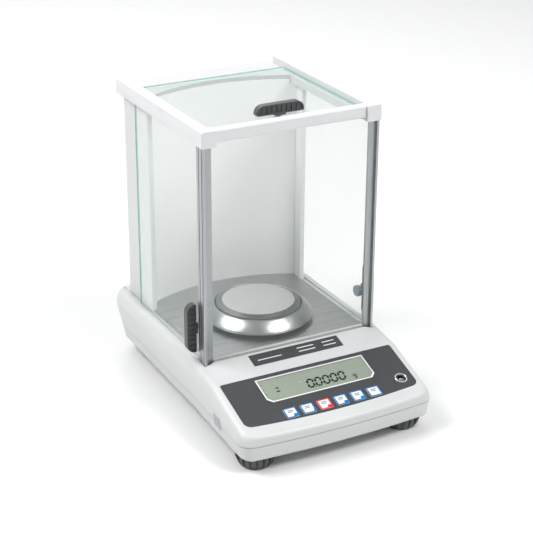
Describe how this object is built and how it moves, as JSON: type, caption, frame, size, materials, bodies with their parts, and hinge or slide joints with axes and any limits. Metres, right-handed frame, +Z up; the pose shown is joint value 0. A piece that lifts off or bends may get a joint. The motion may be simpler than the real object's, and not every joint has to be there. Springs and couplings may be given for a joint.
{
  "type": "analytical balance",
  "caption": "Analytical balance with a sliding glass draft shield, a round weighing pan, a sloping control panel with display and keys, and levelling feet.",
  "frame": {"origin": "middle of the footprint, on the surface the feet stand on", "axes": "+X to the right seen from the front, +Y to the rear, +Z up; the display and the front glass face -Y"},
  "size_m": [0.224, 0.3416, 0.3325],
  "materials": {
    "housing": "smooth white moulded plastic with a very fine texture",
    "back_wall": "light grey satin paint",
    "frame": "light grey satin paint on extrusions",
    "aluminium": "satin anodised, drawn lengthwise",
    "brushed_plate": "brushed stainless sheet",
    "polished_ring": "mirror polished",
    "glass": "clear float glass with green cut edges",
    "screen_window": "clear window over the display",
    "screen": "grey-green liquid crystal display",
    "overlay": "dark grey textured membrane foil",
    "key": "white membrane key with a coloured border",
    "grip": "dark grey moulded plastic",
    "knob": "bluish grey satin",
    "foot": "dark ribbed",
    "board": "solder mask",
    "vial": "tinted liquid",
    "socket": "black moulded plastic",
    "socket_metal": "pressed steel shell"
  },
  "bodies": {
    "base": {"lower_tray": "housing", "upper_shell": "housing", "rear_housing": "housing", "rear_top_cover": "back_wall", "back_wall_panel": "back_wall", "corner_post_left": "housing", "corner_post_right": "housing", "floor_plate": "brushed_plate", "pan_support": "aluminium", "load_cell": "aluminium", "load_cell_bracket": "aluminium", "main_board": "board", "display_module": "screen", "display_window": "screen_window", "key_board": "board", "control_overlay": "overlay", "label_strip": "overlay", "level_ring": "polished_ring", "level_vial": "vial", "rail_left": "frame", "rail_right": "frame", "front_bar": "frame", "column_left": "aluminium", "column_right": "aluminium", "front_glass": "glass", "rear_foot_left": "foot", "rear_foot_right": "foot", "power_inlet": "socket", "data_port": "socket_metal", "socket_panel": "back_wall"},
    "door_left": {"door_glass_left": "glass", "door_handle_left": "grip", "handle_knob_left": "knob"},
    "door_right": {"door_glass_right": "glass", "door_handle_right": "grip", "handle_knob_right": "knob"},
    "door_top": {"door_glass_top": "glass", "door_handle_top": "grip", "handle_knob_top": "knob"},
    "pan": {"weighing_pan": "brushed_plate"},
    "ring": {"draft_ring": "polished_ring"},
    "foot_left": {"foot_wheel_left": "foot", "foot_stud_left": "aluminium"},
    "foot_right": {"foot_wheel_right": "foot", "foot_stud_right": "aluminium"},
    "button_1": {"key_1": "key"},
    "button_2": {"key_2": "key"},
    "button_3": {"key_3": "key"},
    "button_4": {"key_4": "key"},
    "button_5": {"key_5": "key"},
    "button_6": {"key_6": "key"}
  },
  "joints": [
    {"name": "door_left_slide", "type": "slide", "parent": "base", "child": "door_left", "axis": [0, 1, 0], "range_m": [0, 0.112]},
    {"name": "door_right_slide", "type": "slide", "parent": "base", "child": "door_right", "axis": [0, 1, 0], "range_m": [0, 0.112]},
    {"name": "door_top_slide", "type": "slide", "parent": "base", "child": "door_top", "axis": [0, 1, 0], "range_m": [0, 0.125]},
    {"name": "pan_lift", "type": "slide", "parent": "base", "child": "pan", "axis": [0, 0, 1], "range_m": [0, 0.03]},
    {"name": "ring_lift", "type": "slide", "parent": "base", "child": "ring", "axis": [0, 0, 1], "range_m": [0, 0.03]},
    {"name": "button_1_press", "type": "slide", "parent": "base", "child": "button_1", "axis": [0, 0.3074, -0.9516], "range_m": [0, 0.0008], "stiffness_N_per_m": 300, "springref_m": -0.001},
    {"name": "button_2_press", "type": "slide", "parent": "base", "child": "button_2", "axis": [0, 0.3074, -0.9516], "range_m": [0, 0.0008], "stiffness_N_per_m": 300, "springref_m": -0.001},
    {"name": "button_3_press", "type": "slide", "parent": "base", "child": "button_3", "axis": [0, 0.3074, -0.9516], "range_m": [0, 0.0008], "stiffness_N_per_m": 300, "springref_m": -0.001},
    {"name": "button_4_press", "type": "slide", "parent": "base", "child": "button_4", "axis": [0, 0.3074, -0.9516], "range_m": [0, 0.0008], "stiffness_N_per_m": 300, "springref_m": -0.001},
    {"name": "button_5_press", "type": "slide", "parent": "base", "child": "button_5", "axis": [0, 0.3074, -0.9516], "range_m": [0, 0.0008], "stiffness_N_per_m": 300, "springref_m": -0.001},
    {"name": "button_6_press", "type": "slide", "parent": "base", "child": "button_6", "axis": [0, 0.3074, -0.9516], "range_m": [0, 0.0008], "stiffness_N_per_m": 300, "springref_m": -0.001},
    {"name": "foot_left_turn", "type": "hinge", "parent": "base", "child": "foot_left", "pos_m": [-0.086, -0.142, 0], "axis": [0, 0, 1], "range_deg": [-1080, 1080]},
    {"name": "foot_right_turn", "type": "hinge", "parent": "base", "child": "foot_right", "pos_m": [0.086, -0.142, 0], "axis": [0, 0, 1], "range_deg": [-1080, 1080]}
  ]
}
